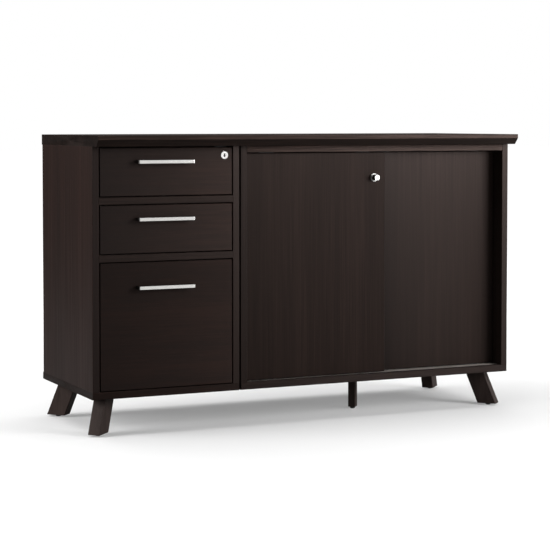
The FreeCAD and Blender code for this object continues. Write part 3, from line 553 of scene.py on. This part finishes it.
def makeScrews(name, body, places, outward, radius, height):
    # low domed heads with a driver's recess, each lathed about its own axis
    profile = ((1.0, 0.0), (1.0, 0.3), (0.86, 0.75), (0.6, 1.0), (0.34, 1.0), (0.26, 0.4))
    angles = [2 * math.pi * step / screwValues["sides"] for step in range(screwValues["sides"])]
    turn = Vector(outward).to_track_quat("Z", "Y").to_matrix().to_4x4()
    mesh = bmesh.new()
    for place in places:
        stand = Matrix.Translation(place) @ turn
        rings = []
        for reach, rise in profile:
            rings.append([
                mesh.verts.new(stand @ Vector((
                    reach * radius * math.cos(angle), reach * radius * math.sin(angle), rise * height,
                )))
                for angle in angles
            ])
        for lower, upper in zip(rings, rings[1:]):
            for step in range(len(angles)):
                following = (step + 1) % len(angles)
                mesh.faces.new((lower[step], lower[following], upper[following], upper[step]))
        mesh.faces.new(rings[-1])
        mesh.faces.new(tuple(reversed(rings[0])))
    for face in mesh.faces:
        face.smooth = True
    data = bpy.data.meshes.new(name)
    mesh.to_mesh(data)
    mesh.free()
    data.materials.append(zincSteel)
    screws = bpy.data.objects.new(name, data)
    bpy.context.scene.collection.objects.link(screws)
    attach(screws, body)


for drawer in drawerNames:
    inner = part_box(drawer + "_front")[1].y
    low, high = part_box(drawer + "_handle")
    foot = (high.z - low.z) / 2
    makeScrews(
        drawer + "_handle_screws", drawer,
        [(x, inner, low.z + foot) for x in (low.x + foot, high.x - foot)],
        (0, 1, 0), screwValues["handleRadius"], screwValues["handleHeight"],
    )
for back in ("pedestal_back", "cabinet_back"):
    low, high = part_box(back)
    inset, rows = screwValues["panelInset"], screwValues["panelRows"]
    rise = (high.z - low.z - 2 * inset) / (rows - 1)
    places = [(x, high.y, low.z + inset + row * rise)
              for row in range(rows) for x in (low.x + inset, high.x - inset)]
    across = round((high.x - low.x) / rise)
    for column in range(1, across):
        x = low.x + inset + (high.x - low.x - 2 * inset) * column / across
        places.append((x, high.y, high.z - inset))
    makeScrews(
        back + "_screws", "carcass", places,
        (0, 1, 0), screwValues["panelRadius"], screwValues["panelHeight"],
    )
print("screws made")


# studio: floor, world, lamps and camera

# polished faces mirror a bright room in front of the object and a dark one behind it
studioValues = {
    "front": (0.35, -0.94, 0.0),
    "turnLow": 0.1,
    "turnHigh": 0.8,
    "mirrored": 0.75,
    "mirroredBack": 0.05,
}


def frontShare(tree, vector):
    # 1 for what lies in front of the object, 0 for what lies behind it
    unit = addNode(tree, "VectorMath", operation="NORMALIZE")
    tree.links.new(vector, unit.inputs[0])
    dot = addNode(tree, "VectorMath", operation="DOT_PRODUCT")
    tree.links.new(unit.outputs["Vector"], dot.inputs[0])
    dot.inputs[1].default_value = studioValues["front"]
    return remapped(tree, dot.outputs["Value"], studioValues["turnLow"], studioValues["turnHigh"],
                    studioValues["mirroredBack"], studioValues["mirrored"])


# the floor glows more from near to far, so that it meets the white world without a line
floorValues = {
    "reach": 40.0,
    "color": 0.62,
    "bounce": 0.25,  # its colour for the light that it throws back on the object
    "mirroredNear": 0.2,
    "glowNear": 0.25,
    "glowFar": 1.0,
    "near": 0.9,
    "far": 2.7,
}


def makeFloor():
    bpy.ops.mesh.primitive_plane_add(size=floorValues["reach"] * 2)
    floor = bpy.context.object
    floor.name = "studioFloor"
    material, tree, shader = newMaterial("studioFloor")
    shader.inputs["Roughness"].default_value = 0.9
    shader.inputs["Specular IOR Level"].default_value = 0.0
    shader.inputs["Emission Color"].default_value = (1, 1, 1, 1)
    rays = addNode(tree, "LightPath")
    place = objectCoordinates(tree)
    distance = addNode(tree, "VectorMath", operation="LENGTH")
    tree.links.new(place, distance.inputs[0])
    outward = remapped(tree, distance.outputs["Value"], floorValues["near"], floorValues["far"], 0.0, 1.0)
    glow = remapped(tree, outward, 0.0, 1.0, floorValues["glowNear"], floorValues["glowFar"])
    seen = maths(tree, "MULTIPLY", rays.outputs["Is Camera Ray"], glow)
    reflected = remapped(tree, outward, 0.0, 1.0, floorValues["mirroredNear"], 1.0)
    mirrored = maths(tree, "MULTIPLY", maths(tree, "MULTIPLY", reflected, frontShare(tree, place)),
                     rays.outputs["Is Glossy Ray"])
    tree.links.new(maths(tree, "ADD", seen, mirrored), shader.inputs["Emission Strength"])
    greys = [(floorValues[name],) * 3 for name in ("bounce", "color")]
    paint = blended(tree, rays.outputs["Is Camera Ray"], *greys)
    tree.links.new(paint, shader.inputs["Base Color"])
    floor.data.materials.append(material)


worldValues = {"ambient": 0.1, "seen": 1.0}


def makeWorld():
    world = bpy.data.worlds.new("studio")
    bpy.context.scene.world = world
    world.use_nodes = True
    tree = world.node_tree
    background = tree.nodes["Background"]
    background.inputs["Color"].default_value = (1, 1, 1, 1)
    rays = addNode(tree, "LightPath")
    mirrored = frontShare(tree, addNode(tree, "TexCoord").outputs["Generated"])
    lit = addNode(tree, "Mix")
    tree.links.new(rays.outputs["Is Glossy Ray"], lit.inputs["Factor"])
    lit.inputs["A"].default_value = worldValues["ambient"]
    tree.links.new(mirrored, lit.inputs["B"])
    seen = addNode(tree, "Mix")
    tree.links.new(rays.outputs["Is Camera Ray"], seen.inputs["Factor"])
    tree.links.new(lit.outputs["Result"], seen.inputs["A"])
    seen.inputs["B"].default_value = worldValues["seen"]
    tree.links.new(seen.outputs["Result"], background.inputs["Strength"])


lampValues = {
    "overhead": {"at": (0.0, 0.6, 3.2), "aim": (0.0, 0.0, 0.0), "size": (4.5, 3.5), "power": 130},
    "rightFront": {"at": (2.15, -2.7, 1.35), "aim": (0.2, -0.1, 0.45), "size": (1.5, 1.3), "power": 110},
    "rightLow": {"at": (3.0, -0.8, 0.22), "aim": (0.0, 0.0, 0.03), "size": (1.6, 0.36), "power": 16},
    "left": {"at": (-3.2, 0.2, 1.4), "aim": (-0.6, 0.0, 0.4), "size": (1.6, 1.6), "power": 80},
}


def makeLamps():
    for name, values in lampValues.items():
        light = bpy.data.lights.new(name, "AREA")
        light.shape = "RECTANGLE"
        light.size, light.size_y = values["size"]
        light.energy = values["power"]
        lamp = bpy.data.objects.new(name, light)
        lamp.location = values["at"]
        beam = Vector(values["aim"]) - Vector(values["at"])
        lamp.rotation_euler = beam.to_track_quat("-Z", "Y").to_euler()
        bpy.context.scene.collection.objects.link(lamp)


cameraValues = {
    "eye": (-1.9828, -4.2080, 0.7838),
    "yaw": 24.989,
    "tilt": 2.4,
    "lens": 113.2,
    "sensor": 36,
    "shift": -0.147,
}


def makeCamera():
    camera = bpy.data.objects.new("camera", bpy.data.cameras.new("camera"))
    bpy.context.scene.collection.objects.link(camera)
    camera.location = cameraValues["eye"]
    camera.rotation_euler = (math.radians(90 - cameraValues["tilt"]), 0, -math.radians(cameraValues["yaw"]))
    camera.data.lens = cameraValues["lens"]
    camera.data.sensor_width = cameraValues["sensor"]
    camera.data.shift_y = cameraValues["shift"]
    bpy.context.scene.camera = camera


makeFloor()
makeWorld()
makeLamps()
makeCamera()
bpy.context.scene.view_settings.view_transform = "Standard"
print("stage set")
